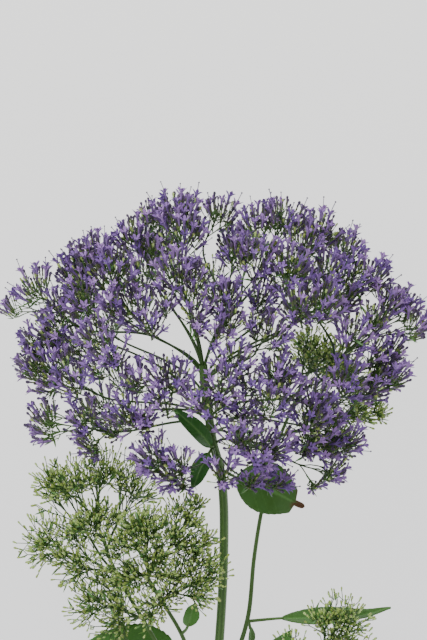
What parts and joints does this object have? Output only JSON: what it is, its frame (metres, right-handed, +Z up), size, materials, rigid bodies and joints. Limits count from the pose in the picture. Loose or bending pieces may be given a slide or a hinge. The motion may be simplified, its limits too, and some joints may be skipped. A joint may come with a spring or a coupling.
{
  "type": "dried throatwort stem",
  "caption": "Cut throatwort stem lying on a surface, with a broad domed head of small violet star florets, side shoots of closed green buds and toothed leaves.",
  "frame": {"origin": "on the surface, under the flat rest spot at the stem's cut end", "axes": "+Y along the surface from the cut end to the head, +X to the right seen from above, +Z up from the surface"},
  "size_m": [0.1808, 0.2851, 0.1058],
  "materials": {
    "stem": "green herbaceous stem, faintly ribbed, satin",
    "floret": "soft violet petals with darker closed buds, matt",
    "bud": "yellow-green closed buds on green stalks, matt",
    "leaf": "dark green toothed leaves, slightly glossy"
  },
  "bodies": {
    "root": {"stem": "stem", "spray_left_outer": "floret", "spray_left_upper": "floret", "spray_left_middle": "floret", "spray_left_lower": "floret", "spray_left_foot": "floret", "spray_left_inner": "floret", "spray_heart_left": "floret", "spray_inner_left": "floret", "spray_top_left": "floret", "spray_top": "floret", "spray_top_twig": "floret", "spray_upper_heart": "floret", "spray_right_heart": "floret", "spray_top_inner": "floret", "spray_top_right": "floret", "spray_right_crown": "floret", "spray_right_shoulder": "floret", "spray_right_middle": "floret", "spray_right_outer": "floret", "spray_right_lower": "floret", "spray_middle_right": "floret", "spray_heart_right": "floret", "spray_low_heart": "floret", "spray_low_right": "floret", "spray_low_twig": "floret", "spray_low_front": "floret", "spray_skirt_right": "floret", "spray_skirt_middle": "floret", "spray_skirt_left": "floret", "spray_back_top_left": "floret", "spray_back_left": "floret", "spray_back_low_left": "floret", "spray_back_top": "floret", "spray_back_right": "floret", "spray_back_low_right": "floret", "spray_back_low": "floret", "bud_shoot_left": "bud", "bud_shoot_left_outer": "bud", "bud_shoot_right": "bud", "bud_shoot_low": "bud", "leaf_crown_left": "leaf", "leaf_crown_low": "leaf", "leaf_crown_right": "leaf", "leaf_right_long": "leaf", "leaf_right_small": "leaf", "leaf_low_right": "leaf", "leaf_low_left": "leaf", "leaf_shoot_left": "leaf"}
  },
  "joints": []
}
